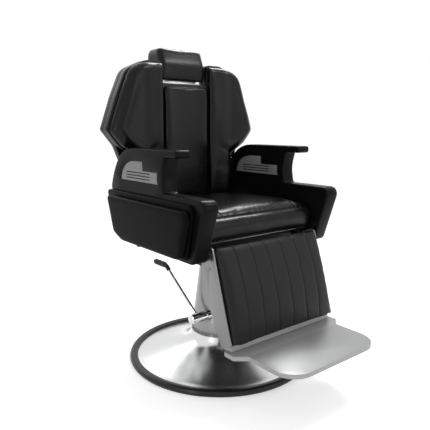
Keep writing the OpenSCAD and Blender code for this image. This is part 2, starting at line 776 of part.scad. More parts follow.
module arm_spacers() {
    color([0.5, 0.5, 0.52]) both_sides() for (y = bolt_y) difference() {
        pin(rail_x, inner_x, [y, bolt_z], 14, 40);
        pin(rail_x - 1, inner_x + 1, [y, bolt_z], bolt_r);
    }
}

module arm_bolts() {
    color([0.6, 0.6, 0.62]) both_sides() for (y = bolt_y) {
        pin(rail_x - rail_t, inner_x + 30, [y, bolt_z], bolt_r);
        pin(rail_x - rail_t - 6, rail_x - rail_t, [y, bolt_z], 8.5, 6);
    }
}

// Shoulder pins in the side frames that carry the back arms
module back_pins() {
    color([0.7, 0.71, 0.73]) both_sides() {
        pin(back_waist - 1, inner_x + 25, back_pivot, pin_d / 2);
        pin(back_waist - 6, back_waist - 1, back_pivot, pin_d / 2 + 4);
    }
}

// Shoulder pins in the side frames that carry the leg rest
module legrest_pins() {
    r = pin_d / 2 - 2;
    color([0.7, 0.71, 0.73]) both_sides() {
        pin(leg_x - leg_plate_t - 1, inner_x + 25, leg_pivot, r);
        pin(leg_x - leg_plate_t - 5, leg_x - leg_plate_t - 1, leg_pivot, r + 2);
    }
}

// Two lugs under the front crossbar with the pin of the recline lock
module lock_bracket() {
    color([0.12, 0.12, 0.13]) union() {
        for (x = [lock_x - lock_r - 6, lock_x + lock_r + 1]) translate([x, 0, 0]) along_x()
            linear_extrude(5) polygon(eased([[lock_y - 14, rail_z, 0], [lock_y - 14, lock_z - 10, 9],
                [lock_y + 14, lock_z - 10, 9], [lock_y + 14, rail_z, 0]], 4));
        pin(lock_x - lock_r - 6, lock_x + lock_r + 6, lock_at, 4, 32);
    }
}

// ---- back
module back_arms() {
    y = pivot_y;
    low = link_z - 15;
    color([0.12, 0.12, 0.13]) both_sides() difference() {
        translate([back_waist, 0, 0]) along_x() linear_extrude(arm_plate_t) polygon(eased([
            [y - 15, low, 13], [y + 15, low, 13], [y + 20, pivot_z + 10, 30],
            [shell_y + shell_d - 6, 590, 30], [shell_y + shell_d - 6, 700, 10],
            [shell_y + 4, 700, 10], [shell_y - 10, 600, 60], [y - 20, pivot_z + 22, 20]], 5));
        pin(back_waist - 1, inner_x, back_pivot, pin_d / 2 + run);
        pin(back_waist - 1, inner_x, [pivot_y, link_z], link_pin_d / 2 + run);
        for (z = [610, 670]) pin(back_waist - 1, inner_x, [tube_y, z], 4);
    }
}

module back_board() {
    color([0.07, 0.07, 0.07]) translate([0, shell_y, 0]) along_y()
        linear_extrude(back_board_t) polygon(board_outline());
}

// Moulded rear shell with an eased rim, open towards the board
module rear_shell() {
    color([0.07, 0.07, 0.07]) translate([0, shell_y + shell_d, 0]) difference() {
        along_y() slab(shell_outline(), shell_d, 6, both = false);
        along_y() translate([0, 0, shell_t]) linear_extrude(shell_d)
            polygon(inset(turned(shell_outline()), shell_t));
        for (x = [-guide_x, guide_x]) translate([x, tube_y - shell_y - shell_d, notch_z - 20])
            cylinder(h = 30, r = tube_r + 1, $fn = 32);
    }
}

// Pan-head screws with crossed slots that hold the rear shell to the board
module shell_screws() {
    y = shell_y + shell_d;
    head = 7;
    at = [[180, 1085], [285, 960], [310, 868], [205, 700], [205, 600], [90, 1020]];
    color([0.3, 0.3, 0.32]) both_sides() for (q = at) translate([q[0], y, q[1]]) difference() {
        rotate([-90, 0, 0]) rotate_extrude($fn = 32)
            polygon([[0, 0], [head, 0], [head, 0.8], [head - 2, 2.4], [0, 3]]);
        for (s = [[8, 1.4], [1.4, 8]])
            translate([-s[0] / 2, 1.6, -s[1] / 2]) cube([s[0], 2, s[1]]);
    }
}

// Welded tube frame of the back: ladder below, two guide tubes for the headrest above
module back_tubes() {
    x = back_waist - shell_t - tube_r - 1;
    low = 588;
    mid = 730;
    top_bar = 860;
    color([0.12, 0.12, 0.13]) translate([0, tube_y, 0]) difference() {
        union() {
            for (s = [-1, 1]) {
                translate([s * x, 0, low]) cylinder(h = mid - low, r = tube_r, $fn = 32);
                translate([s * guide_x, 0, low]) cylinder(h = notch_z - low, r = tube_r, $fn = 32);
            }
            for (z = [low + 12, mid - 12]) translate([-x, 0, z]) rotate([0, 90, 0])
                cylinder(h = 2 * x, r = tube_r - 1, $fn = 32);
            translate([-guide_x, 0, top_bar]) rotate([0, 90, 0])
                cylinder(h = 2 * guide_x, r = tube_r - 2, $fn = 32);
        }
        for (s = [-1, 1]) translate([s * guide_x, 0, top_bar + 20])
            cylinder(h = notch_z, r = post_d / 2 + run, $fn = 48);
    }
}

// Outer edge of the back board from its notch down, as [height, half width]
edge_table = [for (p = back_half(773, [258, 785])) if (p[0] > 150 && p[1] > back_low + 20) [p[1], p[0]]];

// Outer edge of a wing pad at height v
function wing_edge(v) = lookup(v, edge_table) - 4;

module right_wing_pad() {
    v0 = 592;
    v1 = back_top - 5;
    inner = centre_w / 2 + 4;
    color([0.09, 0.09, 0.09]) translate([0, board_y - soft_gap, 0]) along_y()
        pad(function(v) inner + draw(v1 - v, 8), function(v) wing_edge(v) - draw(v - v0, 18),
            v0, v1, wing_t, 7, 16, 28, p = 3, tuck = 3);
}
module left_wing_pad() { mirror([1, 0, 0]) right_wing_pad(); }

module centre_pad() {
    w = centre_w / 2;
    v0 = 592;
    v1 = notch_z - 6;
    color([0.09, 0.09, 0.09]) translate([0, board_y - soft_gap, 0]) along_y()
        pad(function(v) -w + draw(v1 - v, 12), function(v) w - draw(v1 - v, 12),
            v0, v1, centre_t, 8, 12, 16, p = 5, tuck = 3);
}

// Bright plate along the bottom of the notch, with holes for the posts
module headrest_strip() {
    w = notch_w - 5;
    color([0.88, 0.88, 0.9]) difference() {
        translate([-w / 2, board_y + 9, notch_z]) cube([w, shell_y + shell_d - 15 - board_y, 5]);
        for (x = [-guide_x, guide_x]) translate([x, tube_y, notch_z - 1])
            cylinder(h = 10, r = post_d / 2 + 1, $fn = 48);
    }
}

// ---- headrest
function headrest_outline() =
    let (z = notch_z + 12)
    eased([[223, z, 8], [272, z, 6], [296, z + 46, 30], [338, z + 76, 24],
        [331, z + 124, 24], [247, z + 124, 12], [217, z + 56, 120]], 5);

module headrest_pad() {
    color([0.09, 0.09, 0.09]) bolster(headrest_outline(), notch_x - 4, 0.05, 8);
}

module headrest_base() {
    color([0.3, 0.3, 0.32]) translate([-70, tube_y - 15, notch_z + 7])
        cube([140, 30, 5 - soft_gap]);
}

module headrest_posts() {
    low = 905;
    color([0.8, 0.8, 0.82]) for (x = [-guide_x, guide_x]) translate([x, tube_y, low])
        cylinder(h = notch_z + 7 - low, r = post_d / 2, $fn = 48);
}

// ---- leg rest
// Side plates and pan of the leg rest, in its own frame: Y back, Z up along the slope
module legrest_shell() {
    x = leg_x - leg_plate_t;
    side = eased([[0, 0, 14], [leg_depth, 0, 12], [leg_depth, -leg_l * 0.62, 60],
        [leg_foot_depth, -leg_l, 8], [0, -leg_l, 5]], 5);
    color([0.72, 0.73, 0.74]) difference() {
        leg_place() union() {
            both_sides() translate([x, 0, 0]) along_x() linear_extrude(leg_plate_t) polygon(side);
            translate([-x - 1, 0, 0]) along_x() linear_extrude(2 * x + 2) polygon([
                [pan_y, -leg_l + 2], [leg_foot_depth - 6, -leg_l + 2],
                [leg_foot_depth - 6, -leg_l + 2 + pan_t], [pan_y + pan_t, -leg_l + 2 + pan_t],
                [pan_y + pan_t, -38], [pan_y, -38]]);
        }
        both_sides() {
            pin(x - 1, inner_x, leg_pivot, pin_d / 2 - 2 + run);
            pin(x - 1, inner_x, leg_pivot - [0, crank], link_pin_d / 2 + run);
        }
        for (x = bolt_x) translate([x, foot_bolt_y, foot_z]) cylinder(h = 40, r = 3.5, $fn = 24);
    }
}

module legrest_pad() {
    w = leg_x - leg_plate_t - 1.5;
    v0 = -leg_l + 3;
    v1 = -4;
    pitch = 2 * w / channels;
    color([0.09, 0.09, 0.09]) leg_place() translate([0, pan_y - soft_gap, 0]) along_y()
        pad(function(v) -w + draw(v1 - v, 16), function(v) w - draw(v1 - v, 16), v0, v1,
            calf_t, 12, 6 * channels, 9, p = 4, tuck = 3, even = true,
            groove = function(x, v) 4.5 * pow(1 - abs(sin(180 * (x + w) / pitch)), 2));
}

// Cast foot plate, wider where it passes under the leg rest, with its sloping riser
module footplate() {
    w = foot_w / 2;
    wide = leg_x + 5;
    riser = leg_x - leg_plate_t - 4;
    in_y = leg_at(pan_y - 4, -leg_l + 2);
    out_y = leg_at(leg_foot_depth - 8, -leg_l + 2);
    color([0.72, 0.73, 0.74]) difference() {
        union() {
            translate([0, 0, foot_z - foot_t]) linear_extrude(foot_t) polygon(eased([
                [-w, foot_back, 6], [-w - 14, foot_back - 20, 6], [-wide, foot_back - 22, 5],
                [-wide, -375, 6], [-w, -405, 10], [-w, -foot_front, 75],
                [w, -foot_front, 75], [w, -405, 10], [wide, -375, 6],
                [wide, foot_back - 22, 5], [w + 14, foot_back - 20, 6], [w, foot_back, 6]], 8));
            translate([-riser, 0, 0]) along_x() linear_extrude(2 * riser) polygon([
                [in_y[0], foot_z - 1], [out_y[0], foot_z - 1], out_y, in_y]);
        }
        translate([-w + 30, -foot_front + 40, foot_z - foot_t - 1])
            cube([2 * w - 60, foot_front - 440, 7]);
        for (x = bolt_x) translate([x, foot_bolt_y, foot_z - foot_t - 1])
            cylinder(h = 40, r = 3.5, $fn = 24);
    }
}

// Screws up through the foot plate and its riser into the pan of the leg rest
module footplate_bolts() {
    color([0.6, 0.6, 0.62]) for (x = bolt_x) translate([x, foot_bolt_y, foot_z - foot_t]) {
        cylinder(h = foot_t + 17, r = 3.5, $fn = 24);
        translate([0, 0, -5]) cylinder(h = 5, r = 7.5, $fn = 6);
    }
}

// ---- recline linkage
module recline_links() {
    y0 = leg_pivot[0];
    y1 = pivot_y;
    h = link_h / 2;
    color([0.12, 0.12, 0.13]) both_sides() difference() {
        translate([link_x, 0, 0]) along_x() linear_extrude(link_t) polygon(eased([
            [y0 - h, link_z - h, h - 1], [y1 + h, link_z - h, h - 1], [y1 + h, link_z + h, h - 1],
            [y0 - h, link_z + h, h - 1]], 5));
        for (y = [y0, y1]) pin(link_x - 1, link_x + link_t + 1, [y, link_z], link_pin_d / 2);
        pin(link_x - 1, link_x + link_t + 1, tie_at, tie_d / 2 - 3);
    }
}

module link_pins() {
    color([0.7, 0.71, 0.73]) both_sides() for (at = [leg_pivot - [0, crank], [pivot_y, link_z]]) {
        pin(link_x, leg_x + 1, at, link_pin_d / 2);
        pin(link_x - 4, link_x, at, link_pin_d / 2 + 3);
    }
}

module tie_rod() {
    color([0.6, 0.6, 0.62]) union() {
        pin(-link_x, link_x, tie_at, tie_d / 2);
        pin(-link_x - link_t, link_x + link_t, tie_at, tie_d / 2 - 3);
    }
}

// Puts a body drawn along +Y where the recline lock lies at rest
module lock_place() {
    translate([lock_x, lock_at[0], lock_at[1]]) rotate([lock_tilt, 0, 0]) children();
}

module lock_cylinder() {
    color([0.1, 0.1, 0.1]) lock_place() difference() {
        union() {
            translate([0, 10, 0]) rotate([-90, 0, 0]) cylinder(h = lock_len - 10, r = lock_r - 1, $fn = 48);
            translate([-5, 0, 0]) rotate([0, 90, 0]) cylinder(h = 10, r = 11, $fn = 40);
        }
        translate([-6, 0, 0]) rotate([0, 90, 0]) cylinder(h = 12, r = 4 + run, $fn = 40);
        translate([0, 30, 0]) rotate([-90, 0, 0]) cylinder(h = lock_len, r = lock_rod_r + run, $fn = 40);
    }
}

module lock_rod() {
    eye = tie_d / 2 + eye_clear;
    color([0.8, 0.8, 0.82]) lock_place() difference() {
        union() {
            translate([0, 80, 0]) rotate([-90, 0, 0])
                cylinder(h = lock_span - 80 - eye, r = lock_rod_r, $fn = 40);
            translate([-6, lock_span, 0]) rotate([0, 90, 0]) cylinder(h = 12, r = eye + 5, $fn = 48);
        }
        translate([-7, lock_span, 0]) rotate([0, 90, 0]) cylinder(h = 14, r = eye, $fn = 48);
    }
}

// ---- recline lever, on the far side of the seat
release_at = [20, rail_z - 22];
release_r = 6;
release_out = outer_x + panel_t + side_pad_t + 8;

// Bush block under the right rail
module lever_bush() {
    color([0.12, 0.12, 0.13]) difference() {
        translate([rail_x - rail_t, release_at[0] - 14, release_at[1] - 9])
            cube([rail_t, 28, rail_z - release_at[1] + 9]);
        pin(rail_x - 40, rail_x + 1, release_at, release_r + run);
    }
}

module recline_lever() {
    tip = release_at + [95, 34];
    color([0.75, 0.76, 0.78]) union() {
        pin(rail_x - rail_t - 1, release_out + 6, release_at, release_r);
        translate([release_out, 0, 0]) along_x() linear_extrude(6) polygon(eased([
            [release_at[0] - 11, release_at[1] - 9, 8], [release_at[0] + 10, release_at[1] - 11, 8],
            [tip[0] + 7, tip[1] - 7, 5], [tip[0] + 4, tip[1] + 7, 5],
            [release_at[0] - 2, release_at[1] + 12, 8]], 4));
    }
}

module lever_knob() {
    tip = release_at + [95, 34];
    color([0.05, 0.05, 0.05]) translate([release_out + 6, tip[0] - 4, tip[1] - 1])
        rotate([0, 90, 0]) rotate_extrude($fn = 40) polygon([[0, 0], [9, 0], [14, 5], [17, 14],
            [15, 24], [8, 30], [0, 31]]);
}

base_trim();
base_dish();
base_weight();
pump_cover();
pump_tank();
pump_cylinder();
gland_cap();
pump_bolts();
lever_bearing();
lever_hub();
lever_rod();
lever_grip();
ram_rod();
thrust_bearing();
swivel_socket();
left_rail();
right_rail();
front_crossbar();
rear_crossbar();
centre_crossbars();
seat_board();
seat_cushion();
left_side_frame();
right_side_frame();
outer_inlays();
inner_inlays();
left_side_panel();
right_side_panel();
left_side_pad();
right_side_pad();
arm_spacers();
arm_bolts();
back_pins();
legrest_pins();
lock_bracket();
back_arms();
back_board();
rear_shell();
shell_screws();
back_tubes();
left_wing_pad();
right_wing_pad();
centre_pad();
headrest_strip();
headrest_pad();
headrest_base();
headrest_posts();
legrest_shell();
legrest_pad();
footplate();
footplate_bolts();
recline_links();
link_pins();
tie_rod();
lock_cylinder();
lock_rod();
recline_lever();
lever_knob();
lever_bush();
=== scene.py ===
import math

import bmesh
import bpy
import numpy as np
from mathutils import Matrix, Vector


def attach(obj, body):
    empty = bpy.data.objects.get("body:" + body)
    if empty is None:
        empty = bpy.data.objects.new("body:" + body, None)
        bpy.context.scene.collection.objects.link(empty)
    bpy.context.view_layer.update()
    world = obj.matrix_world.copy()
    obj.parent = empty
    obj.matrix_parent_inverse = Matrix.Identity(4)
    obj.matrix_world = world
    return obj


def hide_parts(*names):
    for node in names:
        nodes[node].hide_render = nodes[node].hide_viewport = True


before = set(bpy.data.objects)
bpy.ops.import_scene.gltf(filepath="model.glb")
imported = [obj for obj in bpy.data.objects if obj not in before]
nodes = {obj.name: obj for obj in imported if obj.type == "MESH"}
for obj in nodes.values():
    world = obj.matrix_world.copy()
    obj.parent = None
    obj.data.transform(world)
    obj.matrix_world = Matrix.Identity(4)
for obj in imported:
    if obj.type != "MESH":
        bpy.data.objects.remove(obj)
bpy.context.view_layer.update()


# ------------------------------------------------------------------ shader building blocks
def new_group(name, ins, outs):
    g = bpy.data.node_groups.new(name, "ShaderNodeTree")
    for label, kind, default in ins:
        s = g.interface.new_socket(label, in_out="INPUT", socket_type=kind)
        s.default_value = default
    for label, kind in outs:
        g.interface.new_socket(label, in_out="OUTPUT", socket_type=kind)
    return g, g.nodes.new("NodeGroupInput"), g.nodes.new("NodeGroupOutput")


def noise_node(g, vec, scale, detail=3.0, rough=0.5, distort=0.0):
    n = g.nodes.new("ShaderNodeTexNoise")
    n.inputs["Detail"].default_value = detail
    n.inputs["Roughness"].default_value = rough
    n.inputs["Distortion"].default_value = distort
    g.links.new(vec, n.inputs["Vector"])
    if isinstance(scale, (int, float)):
        n.inputs["Scale"].default_value = scale
    else:
        g.links.new(scale, n.inputs["Scale"])
    return n.outputs["Fac"]


def math_node(g, op, a, b=0.0, clamp=False):
    n = g.nodes.new("ShaderNodeMath")
    n.operation = op
    n.use_clamp = clamp
    for i, v in enumerate((a, b)):
        if isinstance(v, (int, float)):
            n.inputs[i].default_value = v
        else:
            g.links.new(v, n.inputs[i])
    return n.outputs[0]


def map_range(g, value, lo, hi, to_lo, to_hi, smooth=False):
    n = g.nodes.new("ShaderNodeMapRange")
    n.interpolation_type = "SMOOTHSTEP" if smooth else "LINEAR"
    g.links.new(value, n.inputs["Value"])
    for label, v in (("From Min", lo), ("From Max", hi), ("To Min", to_lo), ("To Max", to_hi)):
        if isinstance(v, (int, float)):
            n.inputs[label].default_value = v
        else:
            g.links.new(v, n.inputs[label])
    return n.outputs["Result"]


def object_space(g, stretch=(1, 1, 1)):
    c = g.nodes.new("ShaderNodeTexCoord")
    m = g.nodes.new("ShaderNodeMapping")
    m.inputs["Scale"].default_value = stretch
    g.links.new(c.outputs["Object"], m.inputs["Vector"])
    return m.outputs["Vector"]


def hide_group():
    """Upholstery hide: fine pebble grain, pores, soft creases and broad random tone."""
    g, gi, go = new_group("hide_surface",
                          [("Grain", "NodeSocketFloat", 900.0),
                           ("Crease", "NodeSocketFloat", 1.0)],
                          [("Height", "NodeSocketFloat"), ("Tone", "NodeSocketFloat"),
                           ("Rough", "NodeSocketFloat")])
    vec = object_space(g)
    v = g.nodes.new("ShaderNodeTexVoronoi")
    v.feature = "DISTANCE_TO_EDGE"
    g.links.new(vec, v.inputs["Vector"])
    g.links.new(gi.outputs["Grain"], v.inputs["Scale"])
    pebble = map_range(g, v.outputs["Distance"], 0.0, 0.32, 0.0, 1.0, True)
    fine = noise_node(g, vec, 2400.0, 2.0)
    crease = noise_node(g, vec, 26.0, 5.0, 0.62, 0.6)
    crease = map_range(g, crease, 0.35, 0.72, 0.0, 1.0, True)
    crease = math_node(g, "MULTIPLY", crease, gi.outputs["Crease"])
    broad = noise_node(g, vec, 7.0, 2.0)
    h = math_node(g, "MULTIPLY", pebble, 0.55)
    h = math_node(g, "ADD", h, math_node(g, "MULTIPLY", fine, 0.15))
    h = math_node(g, "ADD", h, math_node(g, "MULTIPLY", crease, 1.1))
    g.links.new(h, go.inputs["Height"])
    tone = math_node(g, "ADD", math_node(g, "MULTIPLY", broad, 0.7),
                     math_node(g, "MULTIPLY", pebble, 0.3))
    g.links.new(tone, go.inputs["Tone"])
    r = math_node(g, "ADD", math_node(g, "MULTIPLY", broad, 0.6),
                  math_node(g, "MULTIPLY", crease, 0.4))
    g.links.new(r, go.inputs["Rough"])
    return g


def metal_group():
    """Metal: hairline polish along one direction, hand smudges and small pits."""
    g, gi, go = new_group("metal_surface",
                          [("Hairline", "NodeSocketFloat", 1.0),
                           ("Smudge", "NodeSocketFloat", 1.0)],
                          [("Height", "NodeSocketFloat"), ("Tone", "NodeSocketFloat"),
                           ("Rough", "NodeSocketFloat")])
    hair = noise_node(g, object_space(g, (14, 14, 900)), 1.0, 3.0, 0.6)
    smudge = noise_node(g, object_space(g), 9.0, 4.0, 0.6, 0.8)
    smudge = map_range(g, smudge, 0.4, 0.7, 0.0, 1.0, True)
    specks = noise_node(g, object_space(g), 420.0, 2.0)
    hair = math_node(g, "MULTIPLY", hair, gi.outputs["Hairline"])
    smudge = math_node(g, "MULTIPLY", smudge, gi.outputs["Smudge"])
    g.links.new(math_node(g, "ADD", hair, math_node(g, "MULTIPLY", specks, 0.2)),
                go.inputs["Height"])
    g.links.new(math_node(g, "ADD", math_node(g, "MULTIPLY", hair, 0.5),
                          math_node(g, "MULTIPLY", smudge, 0.5)), go.inputs["Tone"])
    g.links.new(math_node(g, "ADD", math_node(g, "MULTIPLY", hair, 0.45),
                          math_node(g, "MULTIPLY", smudge, 0.55)), go.inputs["Rough"])
    return g


def moulded_group():
    """Moulded plastic, rubber, paint and castings: stipple, flow marks and dull patches."""
    g, gi, go = new_group("moulded_surface",
                          [("Stipple", "NodeSocketFloat", 700.0)],
                          [("Height", "NodeSocketFloat"), ("Tone", "NodeSocketFloat"),
                           ("Rough", "NodeSocketFloat")])
    vec = object_space(g)
    n1 = noise_node(g, vec, gi.outputs["Stipple"], 3.0, 0.7)
    n2 = noise_node(g, vec, 14.0, 4.0, 0.6, 0.4)
    n3 = noise_node(g, vec, 3.0, 2.0)
    g.links.new(math_node(g, "ADD", n1, math_node(g, "MULTIPLY", n2, 0.3)), go.inputs["Height"])
    g.links.new(math_node(g, "ADD", math_node(g, "MULTIPLY", n2, 0.6),
                          math_node(g, "MULTIPLY", n3, 0.4)), go.inputs["Tone"])
    g.links.new(math_node(g, "ADD", math_node(g, "MULTIPLY", n2, 0.5),
                          math_node(g, "MULTIPLY", n1, 0.5)), go.inputs["Rough"])
    return g


HIDE, METAL, MOULDED = hide_group(), metal_group(), moulded_group()


def material(name, group, dark, light, rough, metallic=0.0, bump=0.2, bump_mm=0.1, spec=0.5,
             coat=0.0, coat_rough=0.2, **settings):
    """A Principled surface whose colour, roughness and relief come from one of the groups."""
    m = bpy.data.materials.new(name)
    m.use_nodes = True
    t = m.node_tree
    p = t.nodes["Principled BSDF"]
    p.inputs["Metallic"].default_value = metallic
    p.inputs["Specular IOR Level"].default_value = spec
    p.inputs["Coat Weight"].default_value = coat
    p.inputs["Coat Roughness"].default_value = coat_rough
    g = t.nodes.new("ShaderNodeGroup")
    g.node_tree = group
    for k, v in settings.items():
        g.inputs[k].default_value = v
    mix = t.nodes.new("ShaderNodeMix")
    mix.data_type = "RGBA"
    mix.inputs["A"].default_value = (*dark, 1)
    mix.inputs["B"].default_value = (*light, 1)
    t.links.new(g.outputs["Tone"], mix.inputs["Factor"])
    t.links.new(mix.outputs["Result"], p.inputs["Base Color"])
    t.links.new(map_range(t, g.outputs["Rough"], 0.0, 1.0, rough[0], rough[1]),
                p.inputs["Roughness"])
    b = t.nodes.new("ShaderNodeBump")
    b.inputs["Strength"].default_value = bump
    b.inputs["Distance"].default_value = bump_mm / 1000
    t.links.new(g.outputs["Height"], b.inputs["Height"])
    t.links.new(b.outputs["Normal"], p.inputs["Normal"])
    return m


def grey(v, tint=0.0):
    return (v, v * (1 + tint * 0.5), v * (1 + tint))


M = {
    "hide": material("black_hide", HIDE, grey(0.002), grey(0.006), (0.22, 0.34), bump=0.28,
                     bump_mm=0.10, spec=0.20, Grain=850.0, Crease=0.4),
    "hide_calf": material("black_hide_calf", HIDE, grey(0.005), grey(0.012), (0.36, 0.52),
                          bump=0.35, bump_mm=0.12, spec=0.22, Grain=800.0, Crease=0.5),
    # painted shade: a darker, far less glossy copy of the seat hide for the side panels and side
    # pads, so these side-facing faces render as dark as shade makes them
    "hide_side": material("black_hide_dimmed_for_side_shade", HIDE, grey(0.002), grey(0.005), (0.30, 0.42),
                          bump=0.35, bump_mm=0.1, spec=0.035, Grain=850.0, Crease=0.3),
    "rubber": material("black_rubber", MOULDED, grey(0.008), grey(0.015), (0.22, 0.34), bump=0.15,
                       bump_mm=0.08, spec=0.26, coat=0.05, coat_rough=0.18, Stipple=520.0),
    "grip": material("grip_rubber", MOULDED, grey(0.008), grey(0.014), (0.42, 0.56), bump=0.3,
                     bump_mm=0.1, spec=0.35, Stipple=900.0),
    # painted shade: the side frames get a very low specular level so their side-facing faces
    # render as dark as shade makes them
    "skin": material("side_moulding", MOULDED, grey(0.003), grey(0.006), (0.24, 0.34), bump=0.25,
                     bump_mm=0.1, spec=0.07, Stipple=620.0),
    "shell": material("rear_moulding", MOULDED, grey(0.004), grey(0.009), (0.34, 0.48), bump=0.3,
                      bump_mm=0.12, spec=0.24, Stipple=480.0),
    "inlay": material("grey_inlay", MOULDED, grey(0.19), grey(0.24), (0.36, 0.48), bump=0.15,
                      bump_mm=0.06, spec=0.4, Stipple=900.0),
    "chrome": material("polished_chrome", METAL, grey(0.66, 0.01), grey(0.80, 0.01), (0.05, 0.12),
                       1.0, bump=0.02, bump_mm=0.02, Hairline=0.25, Smudge=0.5),
    "strip": material("narrow_trim", METAL, grey(0.40, 0.01), grey(0.52, 0.01), (0.16, 0.24), 1.0,
                      bump=0.02, bump_mm=0.02, Hairline=0.25, Smudge=0.5),
    "dish": material("spun_chrome", METAL, grey(0.70, 0.01), grey(0.78, 0.01), (0.21, 0.28), 1.0,
                     bump=0.02, bump_mm=0.02, Hairline=0.3, Smudge=0.25),
    "column": material("satin_column", METAL, grey(0.25, 0.01), grey(0.31, 0.01), (0.26, 0.36),
                       1.0, bump=0.04, bump_mm=0.03, Hairline=0.5, Smudge=0.4),
    "sheet": material("satin_sheet", METAL, grey(0.22, 0.01), grey(0.28, 0.01), (0.30, 0.40),
                      0.85, bump=0.04, bump_mm=0.03, Hairline=0.6, Smudge=0.3),
    "plate": material("satin_plate", METAL, grey(0.35, 0.01), grey(0.41, 0.01), (0.38, 0.46), 0.5,
                      bump=0.04, bump_mm=0.03, spec=0.3, Hairline=0.35, Smudge=0.3),
    "steel": material("machined_steel", METAL, grey(0.36, 0.01), grey(0.48, 0.01), (0.22, 0.36),
                      1.0, bump=0.06, bump_mm=0.04, Hairline=1.0, Smudge=0.5),
    "zinc": material("bright_zinc", METAL, grey(0.40, 0.02), grey(0.54, 0.02), (0.25, 0.4), 1.0,
                     bump=0.08, bump_mm=0.04, Hairline=0.4, Smudge=1.0),
    "frame": material("black_powder_coat", MOULDED, grey(0.006), grey(0.012), (0.38, 0.52),
                      bump=0.5, bump_mm=0.12, spec=0.3, Stipple=1100.0),
    "tank": material("grey_enamel", MOULDED, grey(0.07), grey(0.10), (0.3, 0.42), bump=0.2,
                     bump_mm=0.1, Stipple=300.0),
    "iron": material("painted_casting", MOULDED, grey(0.03), grey(0.06), (0.55, 0.75), bump=0.8,
                     bump_mm=0.4, Stipple=260.0),
    # painted shade: the seat board is coloured near black so that the gap between the seat and the
    # leg rest reads as shade
    "board": material("board_black_as_painted_gap_shade", METAL, grey(0.006), grey(0.014), (0.5, 0.65),
                      bump=0.3, bump_mm=0.1, spec=0.25, Hairline=1.0, Smudge=0.3),
    "knob": material("black_knob", MOULDED, grey(0.006), grey(0.010), (0.12, 0.22), bump=0.1,
                     bump_mm=0.05, spec=0.4, coat=0.25, coat_rough=0.1, Stipple=200.0),
}

LOOK = {
    "base_trim": "rubber", "base_dish": "dish", "base_weight": "iron", "pump_cover": "column",
    "pump_tank": "tank", "pump_cylinder": "steel", "gland_cap": "steel", "pump_bolts": "zinc",
    "lever_bearing": "chrome", "lever_hub": "chrome", "lever_rod": "chrome", "lever_grip": "grip",
    "ram_rod": "chrome", "thrust_bearing": "steel", "swivel_socket": "frame",
    "left_rail": "frame", "right_rail": "frame", "front_crossbar": "frame",
    "rear_crossbar": "frame", "centre_crossbars": "frame", "seat_board": "board",
    "left_side_frame": "skin", "right_side_frame": "skin", "outer_inlays": "inlay",
    "inner_inlays": "inlay", "left_side_panel": "hide_side", "right_side_panel": "hide_side",
    "arm_spacers": "zinc", "arm_bolts": "zinc", "back_pins": "steel", "legrest_pins": "sheet",
    "lock_bracket": "frame", "back_arms": "frame", "back_board": "shell", "rear_shell": "shell",
    "back_tubes": "frame", "headrest_strip": "strip", "headrest_base": "steel",
    "headrest_posts": "chrome", "legrest_shell": "sheet", "footplate": "plate",
    "footplate_bolts": "zinc", "recline_links": "frame", "link_pins": "sheet", "tie_rod": "steel",
    "lock_cylinder": "frame", "lock_rod": "chrome", "shell_screws": "zinc",
    "recline_lever": "chrome", "lever_knob": "knob", "lever_bush": "frame",
    "seat_cushion": "hide", "left_side_pad": "hide_side", "right_side_pad": "hide_side",
    "left_wing_pad": "hide", "right_wing_pad": "hide", "centre_pad": "hide",
    "headrest_pad": "hide", "legrest_pad": "hide_calf",
}

SOFT = {"seat_cushion", "left_side_pad", "right_side_pad", "left_wing_pad", "right_wing_pad",
        "centre_pad", "headrest_pad", "legrest_pad"}


# ------------------------------------------------------------------ smooth shading by angle
def smooth_by_angle(angle):
    """Geometry nodes that keep edges sharper than the angle sharp and shade the rest smooth."""
    g = bpy.data.node_groups.new("shade_by_angle", "GeometryNodeTree")
    g.interface.new_socket("Geometry", in_out="INPUT", socket_type="NodeSocketGeometry")
    g.interface.new_socket("Geometry", in_out="OUTPUT", socket_type="NodeSocketGeometry")
    gi, go = g.nodes.new("NodeGroupInput"), g.nodes.new("NodeGroupOutput")
    face = g.nodes.new("GeometryNodeSetShadeSmooth")
    face.domain = "FACE"
    edge = g.nodes.new("GeometryNodeSetShadeSmooth")
    edge.domain = "EDGE"
    edge.inputs["Shade Smooth"].default_value = False
    ang = g.nodes.new("GeometryNodeInputMeshEdgeAngle")
    cmp = g.nodes.new("FunctionNodeCompare")
    cmp.data_type = "FLOAT"
    cmp.operation = "GREATER_THAN"
    cmp.inputs[1].default_value = angle
    g.links.new(gi.outputs[0], face.inputs["Geometry"])
    g.links.new(face.outputs["Geometry"], edge.inputs["Geometry"])
    g.links.new(ang.outputs["Unsigned Angle"], cmp.inputs[0])
    g.links.new(cmp.outputs["Result"], edge.inputs["Selection"])
    g.links.new(edge.outputs["Geometry"], go.inputs[0])
    return g


BY_ANGLE = smooth_by_angle(math.radians(32))
WELD = 0.00002        # joins the points that two faces share
EDGE_BREAK = 0.0007   # every hard edge is broken a little
for name, o in nodes.items():
    o.data.materials.clear()
    o.data.materials.append(M[LOOK[name]])
    if name in SOFT:
        continue
    weld = o.modifiers.new("weld", "WELD")
    weld.merge_threshold = WELD
    if name != "lever_grip":
        edge = o.modifiers.new("edge", "BEVEL")
        edge.width = EDGE_BREAK
        edge.segments = 2
        edge.limit_method = "ANGLE"
        edge.angle_limit = math.radians(40)
    o.data.shade_smooth()
    smooth = o.modifiers.new("auto_smooth", "NODES")
    smooth.node_group = BY_ANGLE


# ------------------------------------------------------------------ soft pieces
def link(obj):
    bpy.context.scene.collection.objects.link(obj)
    return obj


